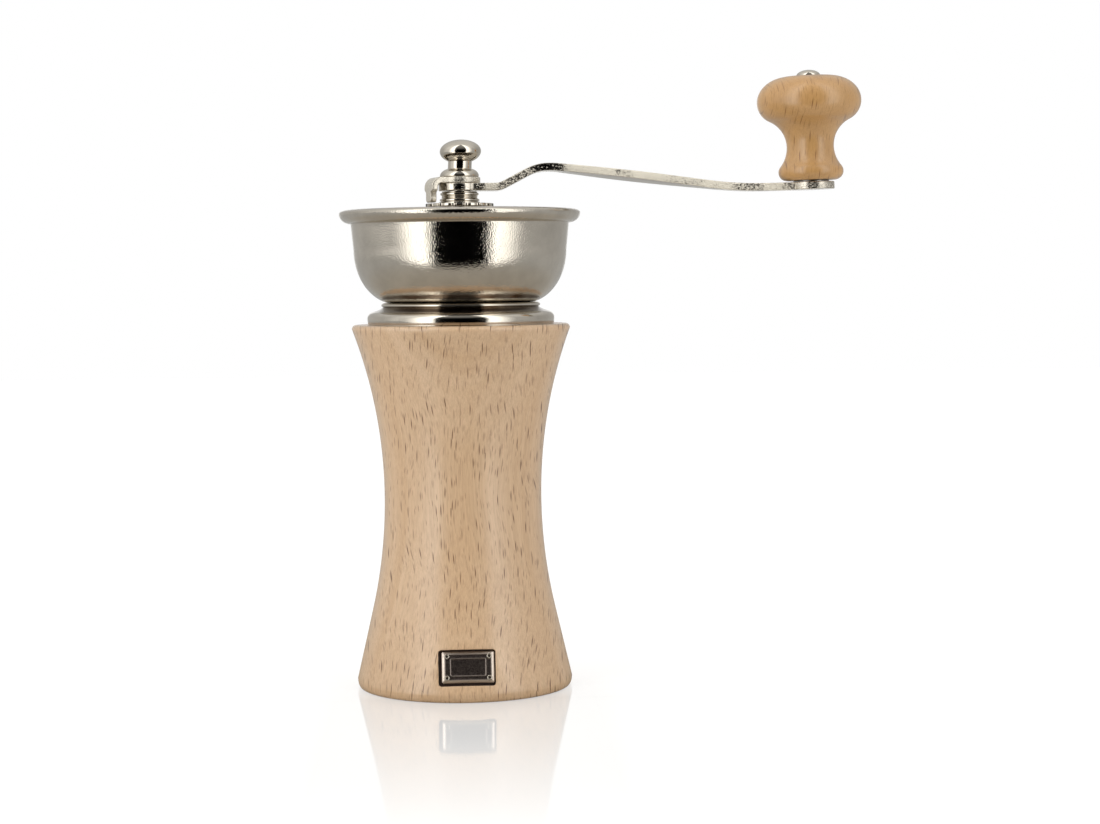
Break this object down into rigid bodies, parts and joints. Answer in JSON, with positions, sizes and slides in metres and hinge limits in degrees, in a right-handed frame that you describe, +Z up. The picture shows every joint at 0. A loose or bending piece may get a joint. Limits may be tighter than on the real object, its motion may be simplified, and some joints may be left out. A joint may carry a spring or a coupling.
{
  "type": "manual coffee grinder",
  "caption": "Hand cranked coffee mill: waisted wooden body, open metal bowl on a collar, conical burrs on a spindle, wavy crank arm with a mushroom knob.",
  "frame": {"origin": "centre of the flat base, on the axis of the body and the spindle", "axes": "+Z up along the spindle, +X along the crank at rest, -Y towards the badge"},
  "size_m": [0.19, 0.0874, 0.2229],
  "materials": {
    "beech": "fine-grained turned beech, thin satin lacquer",
    "beech_knob": "turned beech, satin lacquer, a little redder",
    "nickel_satin": "satin nickel on spun sheet",
    "nickel_polished": "polished nickel",
    "nickel_stamped": "nickel over stamped sheet with rough edges",
    "steel": "plated steel",
    "burr_steel": "hardened cast steel",
    "brass": "turned brass",
    "rubber": "soft black rubber",
    "gunmetal": "dark patinated plate with a bright edge",
    "rivet_nickel": "small nickel rivets"
  },
  "bodies": {
    "canister": {"wooden_body": "beech", "neck_ring": "steel", "badge_plate": "gunmetal", "badge_rivets": "rivet_nickel"},
    "hopper": {"collar": "nickel_polished", "seal_ring": "rubber", "hopper_bowl": "nickel_satin", "bridge": "steel", "bridge_bush": "brass", "outer_burr": "burr_steel", "burr_screws": "steel"},
    "drive": {"drive_washer": "steel"},
    "adjuster": {"notched_disc": "nickel_polished", "adjusting_nut": "nickel_polished"},
    "spindle": {"shaft": "steel", "inner_burr": "burr_steel", "burr_washer": "steel", "burr_nut": "steel", "burr_spring": "steel", "crank_arm": "nickel_stamped", "lock_plate": "nickel_stamped", "crown_nut": "nickel_polished", "knob_washer": "steel", "knob_pin": "steel"},
    "knob": {"crank_knob": "beech_knob"}
  },
  "joints": [
    {"name": "hopper_lift", "type": "slide", "parent": "canister", "child": "hopper", "axis": [0, 0, 1], "range_m": [0, 0.06]},
    {"name": "crank_turn", "type": "hinge", "parent": "hopper", "child": "drive", "pos_m": [0, 0, 0.1734], "axis": [0, 0, 1], "continuous": true},
    {"name": "adjuster_turn", "type": "hinge", "parent": "drive", "child": "adjuster", "pos_m": [0, 0, 0.1748], "axis": [0, 0, 1], "range_deg": [0, 432]},
    {"name": "grind_set", "type": "slide", "parent": "drive", "child": "spindle", "axis": [0, 0, 1], "range_m": [0, 0.0012], "deforming": ["burr_spring"]},
    {"name": "knob_turn", "type": "hinge", "parent": "spindle", "child": "knob", "pos_m": [0.1282, 0, 0.18101], "axis": [-0.0262, 0, 0.9997], "continuous": true}
  ],
  "couplings": [
    {"joint": "adjuster_turn", "follows": "grind_set", "rad_per_m": 6283.2}
  ]
}
